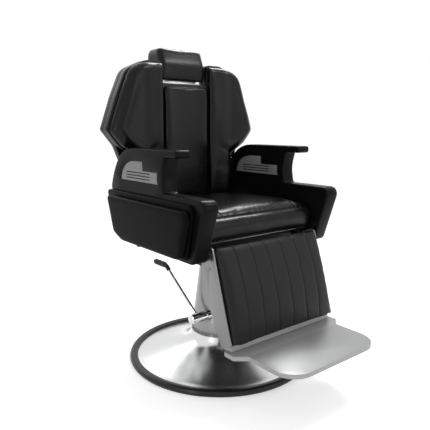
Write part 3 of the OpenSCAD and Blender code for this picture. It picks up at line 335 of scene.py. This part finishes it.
def mesh_object(name, verts, faces, mat):
    me = bpy.data.meshes.new(name)
    me.from_pydata([tuple(v) for v in verts], [], faces)
    me.validate()
    o = link(bpy.data.objects.new(name, me))
    me.materials.append(M[mat])
    me.shade_smooth()
    return o


def select_only(o):
    bpy.ops.object.select_all(action="DESELECT")
    o.select_set(True)
    bpy.context.view_layer.objects.active = o


def apply_all(o):
    select_only(o)
    for m in list(o.modifiers):
        bpy.ops.object.modifier_apply(modifier=m.name)


def crowd(t):
    """0..1 with the steps drawn together at both ends, where a cover turns over its rim."""
    return 0.5 - 0.5 * math.cos(math.pi * t)


def tidy_normals(o):
    """Turns every face outwards."""
    bm = bmesh.new()
    bm.from_mesh(o.data)
    bmesh.ops.recalc_face_normals(bm, faces=bm.faces)
    bm.to_mesh(o.data)
    bm.free()
    return o


def stuffed(name, lo, hi, v0, v1, depth, edge, place, mat, nx, nv, p, tuck, belly=0.0014,
            rings=9):
    """Closed stuffed form over the plan lo(v)..hi(v): a crowned skin that rolls over at the rim,
    side walls that belly out, and a back that is drawn in by tuck. place turns (x, v, d) into a
    point of the chair."""
    n = nx + 1
    mid_v = (v0 + v1) / 2
    plan, verts = [], []

    def roll(t):
        return max(0.0, 1 - abs(2 * t - 1) ** p) ** (1 / p)

    for j in range(nv + 1):
        v = v0 + (v1 - v0) * crowd(j / nv)
        a, b = lo(v), hi(v)
        for i in range(n):
            s = crowd(i / nx)
            x = a + (b - a) * s
            plan.append((x, v, (a + b) / 2, b - a))
            verts.append(place(x, v, edge + (depth(x, v) - edge) * roll(s) * roll(crowd(j / nv))))
    skin = [(j * n + i, j * n + i + 1, (j + 1) * n + i + 1, (j + 1) * n + i)
            for j in range(nv) for i in range(nx)]
    faces = list(skin)
    rim = [i for i in range(nx)] + [j * n + nx for j in range(nv)]
    rim += [nv * n + i for i in range(nx, 0, -1)] + [j * n for j in range(nv, 0, -1)]

    def below(k, inward, d):
        x, v, mid, width = plan[k]
        verts.append(place(mid + (x - mid) * (1 - 2 * inward / width),
                           mid_v + (v - mid_v) * (1 - 2 * inward / (v1 - v0)), d))
        return len(verts) - 1

    loop = rim
    for q in range(1, rings + 1):
        f = 1 - q / rings
        inward = tuck * (1 - f) ** 5 - belly * math.sin(math.pi * f)
        ring = [below(k, inward, edge * f) for k in rim]
        faces += [(loop[i], loop[i - 1], ring[i - 1], ring[i]) for i in range(len(rim))]
        loop = ring
    back_of = dict(zip(rim, loop))
    for k in range(len(plan)):
        if k not in back_of:
            back_of[k] = below(k, tuck, 0.0)
    faces += [tuple(back_of[k] for k in reversed(quad)) for quad in skin]
    return tidy_normals(mesh_object(name, verts, faces, mat))


CLOTH_FRAMES = 20


def fill_out(o, pressure, cap, voxel):
    """Remeshes the form and lets cloth under air pressure fill it, no point moving beyond cap."""
    select_only(o)
    r = o.modifiers.new("remesh", "REMESH")
    r.mode = "VOXEL"
    r.voxel_size = voxel
    r.use_smooth_shade = True
    apply_all(o)
    n = len(o.data.vertices)
    before = np.empty(n * 3)
    o.data.vertices.foreach_get("co", before)
    before = before.reshape(-1, 3)
    c = o.modifiers.new("cloth", "CLOTH")
    s = c.settings
    s.quality = 5
    s.mass = 0.25
    s.tension_stiffness = 18
    s.compression_stiffness = 10
    s.shear_stiffness = 8
    s.bending_stiffness = 1.2
    s.use_pressure = True
    s.uniform_pressure_force = pressure
    s.effector_weights.gravity = 0
    c.collision_settings.use_collision = False
    c.point_cache.frame_start = 1
    c.point_cache.frame_end = CLOTH_FRAMES
    sc = bpy.context.scene
    for f in range(1, CLOTH_FRAMES + 1):
        sc.frame_set(f)
    dg = bpy.context.evaluated_depsgraph_get()
    ev = o.evaluated_get(dg)
    after = np.empty(n * 3)
    ev.to_mesh().vertices.foreach_get("co", after)
    ev.to_mesh_clear()
    after = after.reshape(-1, 3)
    o.modifiers.clear()
    sc.frame_set(1)
    move = after - before
    length = np.linalg.norm(move, axis=1, keepdims=True)
    move *= np.minimum(1.0, cap / np.maximum(length, 1e-9))
    move[~np.isfinite(move)] = 0
    o.data.vertices.foreach_set("co", (before + move).ravel())
    o.data.update()
    sm = o.modifiers.new("relax", "SMOOTH")
    sm.factor = 0.5
    sm.iterations = 6
    apply_all(o)
    return o


def keep_inside(o, lo=None, hi=None):
    """Presses every point back inside a box, as a board or a neighbour does."""
    co = np.empty(len(o.data.vertices) * 3)
    o.data.vertices.foreach_get("co", co)
    co = co.reshape(-1, 3)
    for axis in range(3):
        if lo is not None and lo[axis] is not None:
            co[:, axis] = np.maximum(co[:, axis], lo[axis])
        if hi is not None and hi[axis] is not None:
            co[:, axis] = np.minimum(co[:, axis], hi[axis])
    o.data.vertices.foreach_set("co", co.ravel())
    o.data.update()


def shape(o, move):
    """Moves every point by move(co), a vector in metres."""
    co = np.empty(len(o.data.vertices) * 3)
    o.data.vertices.foreach_get("co", co)
    co = co.reshape(-1, 3)
    co = co + move(co)
    o.data.vertices.foreach_set("co", co.ravel())
    o.data.update()


def finish_pad(o):
    s = o.modifiers.new("subdivision", "SUBSURF")
    s.levels = s.render_levels = 1
    apply_all(o)
    o.data.shade_smooth()
    return o


def lerp_table(table):
    """A function that reads between the rows of (place, value)."""
    xs = [q[0] for q in table]
    ys = [q[1] for q in table]
    return lambda v: float(np.interp(v, xs, ys))


def gauss(d, w):
    return np.exp(-(d / w) ** 2)


# seat cushion: a bulging apron with its own rolled top edge, and a softer layer set back above it
SEAT_Z = 0.5243
SEAT_FRONT, SEAT_BACK = -0.241, 0.166
SEAT_HALF = 0.236
SEAT_H, SEAT_CROWN = 0.095, 0.005
SEAM_X = 0.176
RIM_H, APRON_H = 0.062, 0.064
HEM_DROP = 0.013
seat = stuffed(
    "seat_upholstery", lambda v: -SEAT_HALF, lambda v: SEAT_HALF, SEAT_FRONT, SEAT_BACK,
    lambda x, v: SEAT_H + SEAT_CROWN * math.cos(x / SEAT_HALF * math.pi / 2), RIM_H,
    lambda x, v, d: (x, v, SEAT_Z + d), "hide", nx=64, nv=64, p=3.0, tuck=0.005, rings=16)
fill_out(seat, pressure=2.0, cap=0.0025, voxel=0.005)
finish_pad(seat)


def seat_form(co):
    x, y, z = co[:, 0], co[:, 1], co[:, 2]
    move = np.zeros_like(co)
    h = z - SEAT_Z
    front = np.clip((-0.17 - y) / 0.07, 0, 1)
    # the face of the apron fills out between its hem and its rolled top edge
    swell = np.sin(np.pi * np.clip(h / APRON_H, 0, 1)) ** 0.7
    move[:, 1] -= 0.004 * swell * front
    # deep crease over the apron, and the top layer that lies a little behind it
    crease = gauss(h - (APRON_H + 0.004), 0.0042)
    above = np.clip((h - APRON_H) / 0.012, 0, 1)
    move[:, 1] += (0.009 * crease + 0.0105 * above) * front
    side = np.clip((np.abs(x) - 0.20) / 0.03, 0, 1)
    move[:, 0] -= np.sign(x) * (0.004 * crease + 0.003 * above) * side
    # boxing seams that run from front to back, with the cover rising softly between them
    top = np.clip((h - 0.075) / 0.015, 0, 1)
    from_seam = np.abs(x) - SEAM_X
    move[:, 2] -= 0.0052 * gauss(from_seam, 0.0045) * top
    move[:, 2] += 0.0022 * gauss(from_seam, 0.030) * top
    # shallow dip where people sit
    move[:, 2] -= 0.005 * np.exp(-(x / 0.13) ** 2 - ((y - 0.02) / 0.12) ** 2) * top
    # the hem of the apron wraps down over the front edge of the board
    hem = np.clip((-0.2225 - y) / 0.006, 0, 1) * np.clip((0.024 - h) / 0.024, 0, 1)
    move[:, 2] -= HEM_DROP * hem
    # small puckers where the top layer is drawn in above the crease
    pucker = np.sin(x * 190 + 3 * np.sin(x * 37)) * gauss(h - (APRON_H + 0.010), 0.010)
    move[:, 1] += 0.0004 * pucker * front
    return move


shape(seat, seat_form)
keep_inside(seat, lo=(-0.241, -0.2495, SEAT_Z - HEM_DROP), hi=(0.241, 0.171, None))

# back: wings, centre and headrest
BACK_Y = 0.2157
BACK_FOOT = 0.592
# height and half width of the back along its outer edge: waist, wide corner, shoulder
OUTLINE = [(BACK_FOOT, 0.228), (0.765, 0.228), (0.772, 0.232), (0.786, 0.256), (0.812, 0.297),
           (0.850, 0.329), (0.868, 0.341), (0.874, 0.342), (0.886, 0.338), (0.940, 0.319),
           (0.990, 0.300), (1.030, 0.284), (1.070, 0.267), (1.090, 0.254), (1.105, 0.234),
           (1.116, 0.208), (1.123, 0.178)]
EDGE = lerp_table(OUTLINE)
WING_IN = 0.1095
WING_TOP = 1.121
WING_RIM = [(x, v) for v, x in OUTLINE if v < WING_TOP]
WING_RIM += [(EDGE(WING_TOP), WING_TOP), (WING_IN, WING_TOP + 0.002)]


def from_rim(x, v):
    """Shortest way from a place on the wing to its outer edge."""
    best = 1.0
    for (ax, av), (bx, bv) in zip(WING_RIM, WING_RIM[1:]):
        ux, uv = bx - ax, bv - av
        t = max(0.0, min(1.0, ((x - ax) * ux + (v - av) * uv) / (ux * ux + uv * uv)))
        best = min(best, math.hypot(x - ax - t * ux, v - av - t * uv))
    return best


def wing(sign, name):
    edge, bolster = 0.012, 0.034

    def crown(x, v):
        # low beside the centre pad, then a slope up to the bolster that follows the outer edge
        rise = min(1.0, (x - WING_IN) / 0.105)
        hill = 0.021 + 0.017 * (0.5 - 0.5 * math.cos(math.pi * rise))
        out = from_rim(x, v)
        # the bolster runs out towards the top, where the cover simply turns over the edge
        low = min(1.0, max(0.0, (1.085 - v) / 0.10))
        hill += 0.0045 * low * math.exp(-((out - bolster) / 0.016) ** 2)
        near = 1 - min(1.0, out / (0.018 + (bolster - 0.018) * low))
        return edge + (hill - edge) * math.sqrt(max(0.0, 1 - near * near))

    o = stuffed(name, lambda v: WING_IN, EDGE, BACK_FOOT, WING_TOP, crown, edge,
                lambda x, v, d: (sign * x, BACK_Y - d, v), "hide", nx=60, nv=96, p=9.0, tuck=0.003)
    fill_out(o, pressure=3.0, cap=0.003, voxel=0.0055)
    finish_pad(o)

    def form(co):
        x, y, z = sign * co[:, 0], co[:, 1], co[:, 2]
        move = np.zeros_like(co)
        face = np.clip((BACK_Y - y - 0.010) / 0.01, 0, 1)
        # the cover gathers at the waist and hangs a little slack towards the arm
        along = (z - 0.775) + 0.55 * (x - 0.232)
        fold = gauss(along + 0.012, 0.014) * np.clip((x - 0.14) / 0.06, 0, 1)
        move[:, 1] += 0.0045 * fold * face
        puckers = np.sin((z - 0.74) * 95 + x * 18)
        puckers = puckers * gauss(z - 0.735, 0.055) * gauss(x - 0.20, 0.05)
        move[:, 1] += 0.0016 * puckers * face
        move[:, 1] += 0.0014 * np.sin(z * 23 + 1.3) * gauss(x - 0.13, 0.025) * face
        return move

    shape(o, form)
    keep_inside(o, lo=(None, 0.166, 0.588), hi=(None, BACK_Y, 1.127))
    return o


wing_r, wing_l = wing(-1, "wing_right_upholstery"), wing(1, "wing_left_upholstery")


def corner_in(d, r):
    """How far a rounded corner of radius r draws the edge in at distance d from the end."""
    return 0.0 if d >= r else r - math.sqrt(max(0.0, r * r - (r - d) ** 2))


CENTRE_TOP = 1.041
CENTRE_HALF = 0.1045
CENTRE_CORNER = 0.014
centre = stuffed(
    "centre_upholstery", lambda v: -CENTRE_HALF + corner_in(CENTRE_TOP - v, CENTRE_CORNER),
    lambda v: CENTRE_HALF - corner_in(CENTRE_TOP - v, CENTRE_CORNER), BACK_FOOT, CENTRE_TOP,
    lambda x, v: 0.0205 + 0.0014 * math.sin((v - 0.6) * 7), 0.006,
    lambda x, v, d: (x, BACK_Y - d, v), "hide", nx=48, nv=80, p=4.2, tuck=0.002)
fill_out(centre, pressure=2.5, cap=0.0025, voxel=0.005)
finish_pad(centre)
keep_inside(centre, lo=(-0.1062, 0.19, 0.589), hi=(0.1062, BACK_Y, 1.0425))


def swept(name, outline, half, mat, bulge, round_end, n=40):
    """Stuffed roll: a closed [y, z] outline swept along X, its ends rounded over."""
    m = len(outline)
    c = np.mean(np.array(outline), axis=0)
    verts, faces = [], []
    for i in range(n + 1):
        t = crowd(i / n)
        x = half * (2 * t - 1)
        e = min(t, 1 - t) * 2 * half
        f = 1 - bulge * abs(2 * t - 1) ** 6
        inset = 0.0
        if e < round_end:
            inset = round_end - math.sqrt(max(0, round_end ** 2 - (round_end - e) ** 2))
        for q in outline:
            d = np.array(q) - c
            length = np.linalg.norm(d)
            r = c + d * f * max(0.0, (length - inset * 0.8)) / length
            verts.append((x, r[0], r[1]))
    for i in range(n):
        for k in range(m):
            a, b = i * m + k, i * m + (k + 1) % m
            faces.append((a, b, b + m, a + m))
    for i in (0, n):
        verts.append((verts[i * m][0], c[0], c[1]))
        for k in range(m):
            a, b = i * m + k, i * m + (k + 1) % m
            faces.append((a, b, len(verts) - 1))
    return tidy_normals(mesh_object(name, verts, faces, mat))


def rounded(points, n=7):
    """Closed outline from corners (y, z, radius)."""
    out = []
    m = len(points)
    for i in range(m):
        p = Vector(points[i][:2])
        a, b = Vector(points[i - 1][:2]), Vector(points[(i + 1) % m][:2])
        u, v = (a - p).normalized(), (b - p).normalized()
        ang = math.acos(max(-1, min(1, u.dot(v))))
        r = points[i][2]
        if r <= 0 or ang > math.radians(178):
            out.append(tuple(p))
            continue
        c = p + (u + v).normalized() * r / math.sin(ang / 2)
        s, e = p + u * r / math.tan(ang / 2) - c, p + v * r / math.tan(ang / 2) - c
        a0 = math.atan2(s.y, s.x)
        turn = (math.atan2(e.y, e.x) - a0 + 3 * math.pi) % (2 * math.pi) - math.pi
        for k in range(n + 1):
            t = a0 + turn * k / n
            out.append((c.x + r * math.cos(t), c.y + r * math.sin(t)))
    return out


def densify(outline, step=0.006):
    """Points no further apart than about one step along a closed outline."""
    out = []
    m = len(outline)
    for i in range(m):
        a, b = np.array(outline[i]), np.array(outline[(i + 1) % m])
        k = max(1, int(np.linalg.norm(b - a) / step))
        for j in range(k):
            out.append(tuple(a + (b - a) * j / k))
    return out


# y, z and radius of each corner, from the foot of the face round the back to its bend
HEAD_CORNERS = [(0.2235, 1.0605, 0.009), (0.272, 1.0605, 0.006), (0.296, 1.106, 0.030),
                (0.337, 1.136, 0.022), (0.330, 1.183, 0.022), (0.2475, 1.183, 0.011),
                (0.218, 1.116, 0.115)]
HEAD_HALF = 0.1035
head = swept("headrest_upholstery", densify(rounded(HEAD_CORNERS)), HEAD_HALF, "hide",
             bulge=0.02, round_end=0.016)
fill_out(head, pressure=1.2, cap=0.0012, voxel=0.005)
finish_pad(head)
keep_inside(head, lo=(-0.105, None, 1.0602), hi=(0.105, None, None))


# side pads: a slanted front end, and a rear end cut back below
def side_pad(sign, name):
    v0, v1 = 0.475, 0.635
    base, proud = 0.3213, 0.3458
    front_corner, rear_corner = 0.034, 0.018

    def front(v):
        return -0.270 + (0.613 - v) * 0.27

    def rear(v):
        return 0.251 - max(0.0, v1 - v) * 0.34 - max(0.0, 0.500 - v) * 2.2

    o = stuffed(name, lambda v: front(v) + corner_in(min(v - v0, v1 - v), front_corner),
                lambda v: rear(v) - corner_in(v1 - v, rear_corner), v0, v1,
                lambda x, v: 0.0225, 0.012, lambda x, v, d: (sign * (base + d), x, v), "hide_side",
                nx=70, nv=36, p=9.0, tuck=0.002)
    fill_out(o, pressure=1.2, cap=0.0012, voxel=0.0055)
    finish_pad(o)
    near, far = sorted((sign * base, sign * proud))
    keep_inside(o, lo=(near, -0.274, 0.4725), hi=(far, 0.2535, 0.6375))
    return o


side_r, side_l = side_pad(-1, "side_right_upholstery"), side_pad(1, "side_left_upholstery")

# leg rest pad with sewn channels, on a shell that leans by LEG_A
LEG_A = math.radians(17.5)
LEG_TOP = (-0.263, 0.514)
LEG_W = 0.2333
SHELL_Y = 0.0137
CALF_FOOT, CALF_TOP = -0.312, -0.004
CHANNELS = 7
HANG = 0.010


def leg_point(x, v, d):
    """v runs along the shell from its top pin, d stands out from its face."""
    y = SHELL_Y - d
    return (x, LEG_TOP[0] + y * math.cos(LEG_A) + v * math.sin(LEG_A),
            LEG_TOP[1] - y * math.sin(LEG_A) + v * math.cos(LEG_A))


def calf_depth(v):
    """Fullest near the middle, flatter towards both ends."""
    t = (v + 0.150) / 0.158
    return 0.0245 + 0.0165 * max(0.0, 1 - t * t)


calf = stuffed("legrest_upholstery", lambda v: -LEG_W, lambda v: LEG_W, CALF_FOOT, CALF_TOP,
               lambda x, v: calf_depth(v), 0.012, leg_point, "hide_calf", nx=84, nv=56, p=4.6,
               tuck=0.003)
fill_out(calf, pressure=2.5, cap=0.003, voxel=0.005)
finish_pad(calf)


def calf_form(co):
    y, z = co[:, 1] - LEG_TOP[0], co[:, 2] - LEG_TOP[1]
    d = SHELL_Y - (y * math.cos(LEG_A) - z * math.sin(LEG_A))
    pitch = 2 * LEG_W / CHANNELS
    u = (co[:, 0] + LEG_W) / pitch
    inner = (np.round(u) > 0.5) & (np.round(u) < CHANNELS - 0.5)
    face = np.clip((d - 0.016) / 0.006, 0, 1)
    sway = 0.0011 * np.sin(co[:, 2] * 61 + 2.4 * np.round(u)) * inner
    near = np.abs(co[:, 0] + LEG_W - np.round(u) * pitch - sway)
    dip = np.where(inner, gauss(near, 0.0022) * 0.0026 + gauss(near, 0.011) * 0.0009, 0.0) * face
    # the lower edge of the cover hangs over the flange that carries the footplate
    v = y * math.sin(LEG_A) + z * math.cos(LEG_A)
    hang = HANG * np.clip((-0.288 - v) / 0.020, 0, 1) * np.clip((d - 0.016) / 0.005, 0, 1)
    move = np.zeros_like(co)
    move[:, 1] = dip * math.cos(LEG_A) - hang * math.sin(LEG_A)
    move[:, 2] = -dip * math.sin(LEG_A) - hang * math.cos(LEG_A)
    return move


shape(calf, calf_form)

PADS = [(seat, "seat", "seat_cushion", 0.85), (wing_r, "backrest", "right_wing_pad", 0.8),
        (wing_l, "backrest", "left_wing_pad", 0.8), (centre, "backrest", "centre_pad", 0.85),
        (head, "headrest", "headrest_pad", 0.9), (side_r, "seat", "right_side_pad", 0.9),
        (side_l, "seat", "left_side_pad", 0.9), (calf, "legrest", "legrest_pad", 0.8)]
for o, body, node, fill in PADS:
    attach(o, body)
    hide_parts(node)


# ------------------------------------------------------------------ stage, light and camera
def area(name, loc, target, size, energy, size_y):
    d = bpy.data.lights.new(name, "AREA")
    d.energy = energy
    d.size = size
    d.shape = "RECTANGLE"
    d.size_y = size_y
    o = link(bpy.data.objects.new(name, d))
    o.location = loc
    o.rotation_euler = (Vector(target) - Vector(loc)).to_track_quat("-Z", "Y").to_euler()
    return o


WORLD_LEVEL = 0.62   # what lights the chair; the sky that is seen stays white
FLOOR_GLOW = 0.44    # lifts the lit floor to white where it is seen
FLOOR_HALF, FLOOR_Z = 30, -0.0005
floor_mesh = bpy.data.meshes.new("floor")
floor_mesh.from_pydata([(x * FLOOR_HALF, y * FLOOR_HALF, FLOOR_Z)
                        for x, y in ((-1, -1), (1, -1), (1, 1), (-1, 1))], [], [(0, 1, 2, 3)])
floor = link(bpy.data.objects.new("floor", floor_mesh))
floor_mat = bpy.data.materials.new("studio_floor")
floor_mat.use_nodes = True
ft = floor_mat.node_tree
fp = ft.nodes["Principled BSDF"]
fp.inputs["Base Color"].default_value = (0.90, 0.90, 0.90, 1)
fp.inputs["Roughness"].default_value = 0.9
fp.inputs["Specular IOR Level"].default_value = 0.1


def seen_as_background(t):
    """1 for rays from the camera and for rays mirrored or let through by the object."""
    rays = t.nodes.new("ShaderNodeLightPath")
    seen = math_node(t, "MAXIMUM", rays.outputs["Is Camera Ray"], rays.outputs["Is Glossy Ray"])
    return math_node(t, "MAXIMUM", seen, rays.outputs["Is Transmission Ray"])


fp.inputs["Emission Color"].default_value = (1, 1, 1, 1)
ft.links.new(math_node(ft, "MULTIPLY", seen_as_background(ft), FLOOR_GLOW),
             fp.inputs["Emission Strength"])
floor_mesh.materials.append(floor_mat)

world = bpy.data.worlds.new("studio")
bpy.context.scene.world = world
world.use_nodes = True
wt = world.node_tree
bg = wt.nodes["Background"]
mixw = wt.nodes.new("ShaderNodeMix")
mixw.data_type = "RGBA"
mixw.inputs["A"].default_value = (WORLD_LEVEL, WORLD_LEVEL, WORLD_LEVEL, 1)
mixw.inputs["B"].default_value = (1, 1, 1, 1)
wt.links.new(seen_as_background(wt), mixw.inputs["Factor"])
wt.links.new(mixw.outputs["Result"], bg.inputs["Color"])
bg.inputs["Strength"].default_value = 1.0

area("seat_softbox", (1.15, 0.75, 2.35), (0, -0.1, 0.6), 0.95, 27, 0.6)
area("edge_softbox", (0.95, -0.85, 2.2), (0, -0.2, 0.6), 0.5, 8, 0.35)
area("side_strip", (-2.4, -0.9, 1.0), (0, 0, 0.8), 0.22, 7, 1.7)
area("rear_softbox", (-0.5, 2.3, 2.0), (-0.1, 0, 0.3), 2.6, 9, 0.9)
area("front_card", (1.3, -2.9, 1.5), (0, 0, 0.8), 1.2, 7, 1.6)

CAMERA_AT = (-1.1683, -1.4483, 0.8822)
CAMERA_AZ, CAMERA_EL = math.radians(-38.417), math.radians(10.048)
cam = bpy.data.cameras.new("camera")
cam.lens = 41.64
cam.sensor_width = 36
cam.clip_end = 100
camera = link(bpy.data.objects.new("camera", cam))
camera.location = CAMERA_AT
back = Vector((math.sin(CAMERA_AZ) * math.cos(CAMERA_EL),
               -math.cos(CAMERA_AZ) * math.cos(CAMERA_EL), math.sin(CAMERA_EL)))
camera.rotation_euler = (-back).to_track_quat("-Z", "Y").to_euler()
bpy.context.scene.camera = camera
bpy.context.scene.view_settings.view_transform = "Standard"
